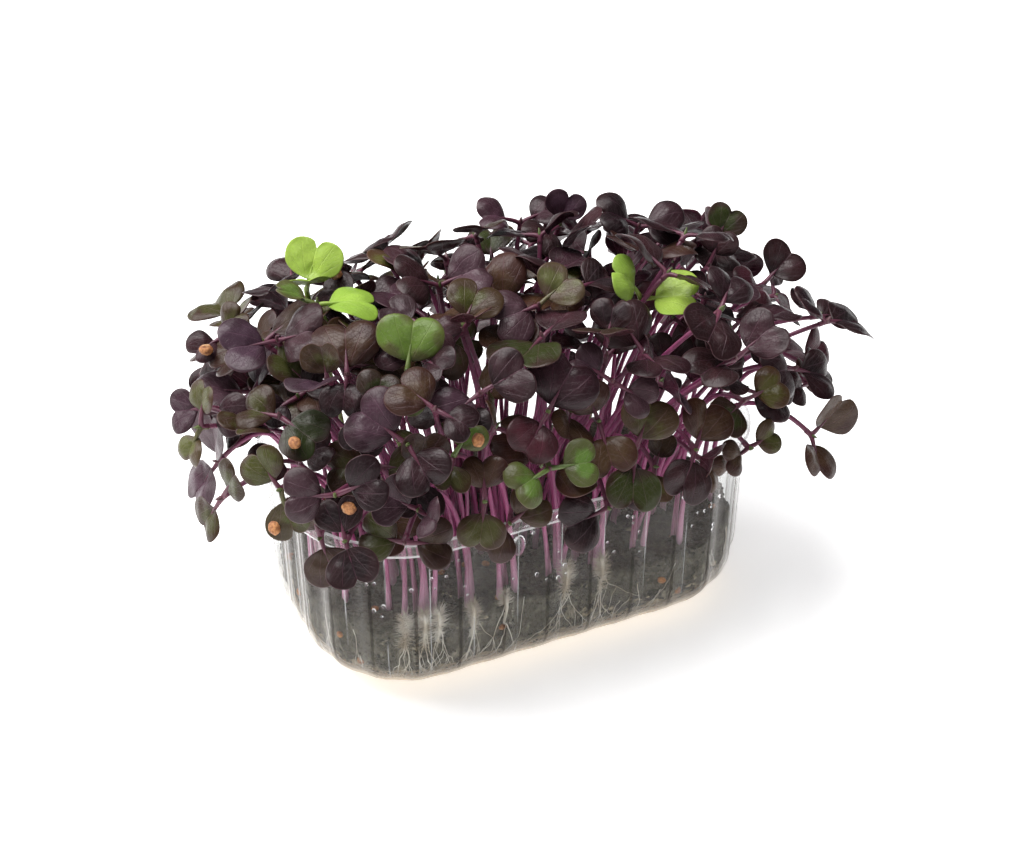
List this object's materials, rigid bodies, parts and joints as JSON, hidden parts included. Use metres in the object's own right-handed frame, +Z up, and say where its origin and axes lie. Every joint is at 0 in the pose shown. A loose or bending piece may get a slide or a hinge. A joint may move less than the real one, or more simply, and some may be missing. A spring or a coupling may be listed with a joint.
{
  "type": "radish microgreens tray",
  "caption": "Clear fluted oval tray of growing medium with a mound of purple, olive and pale green radish seedlings leaning out over its rim.",
  "frame": {"origin": "middle of the tray's flat base, on the surface it stands on", "axes": "+Z up; X along the tray's long side; the front of the tray is at -Y"},
  "size_m": [0.1896, 0.114, 0.1081],
  "materials": {
    "clear_plastic": "thin clear pressed plastic, glossy",
    "growing_medium": "damp dark crumbly fibre full of pale roots, matt",
    "purple_leaf": "dark purple seed leaves with a soft sheen, on pink stems",
    "olive_leaf": "brown to olive green seed leaves with a soft sheen, on pink stems",
    "pale_leaf": "pale yellow-green seed leaves and stem",
    "seed_husk": "dry tan-orange seed coat, matt"
  },
  "bodies": {
    "root": {"growing_medium": "growing_medium", "pale_seedling_1": "pale_leaf", "pale_seedling_2": "pale_leaf", "pale_seedling_3": "pale_leaf", "seed_husk_1": "seed_husk", "seed_husk_2": "seed_husk", "seed_husk_3": "seed_husk", "seed_husk_4": "seed_husk", "seed_husk_5": "seed_husk", "seed_husk_6": "seed_husk", "tray": "clear_plastic", "tuft_01": "purple_leaf", "tuft_02": "olive_leaf", "tuft_03": "purple_leaf", "tuft_04": "purple_leaf", "tuft_05": "purple_leaf", "tuft_06": "olive_leaf", "tuft_07": "purple_leaf", "tuft_08": "purple_leaf", "tuft_09": "purple_leaf", "tuft_10": "olive_leaf", "tuft_11": "purple_leaf", "tuft_12": "purple_leaf", "tuft_13": "purple_leaf", "tuft_14": "olive_leaf", "tuft_15": "purple_leaf", "tuft_16": "purple_leaf", "tuft_17": "purple_leaf", "tuft_18": "olive_leaf", "tuft_19": "purple_leaf", "tuft_20": "purple_leaf", "tuft_21": "purple_leaf", "tuft_22": "olive_leaf", "tuft_23": "purple_leaf", "tuft_24": "purple_leaf", "tuft_25": "purple_leaf", "tuft_26": "olive_leaf", "tuft_27": "purple_leaf", "tuft_28": "purple_leaf", "tuft_29": "purple_leaf", "tuft_30": "olive_leaf", "tuft_31": "purple_leaf", "tuft_32": "purple_leaf"}
  },
  "joints": []
}
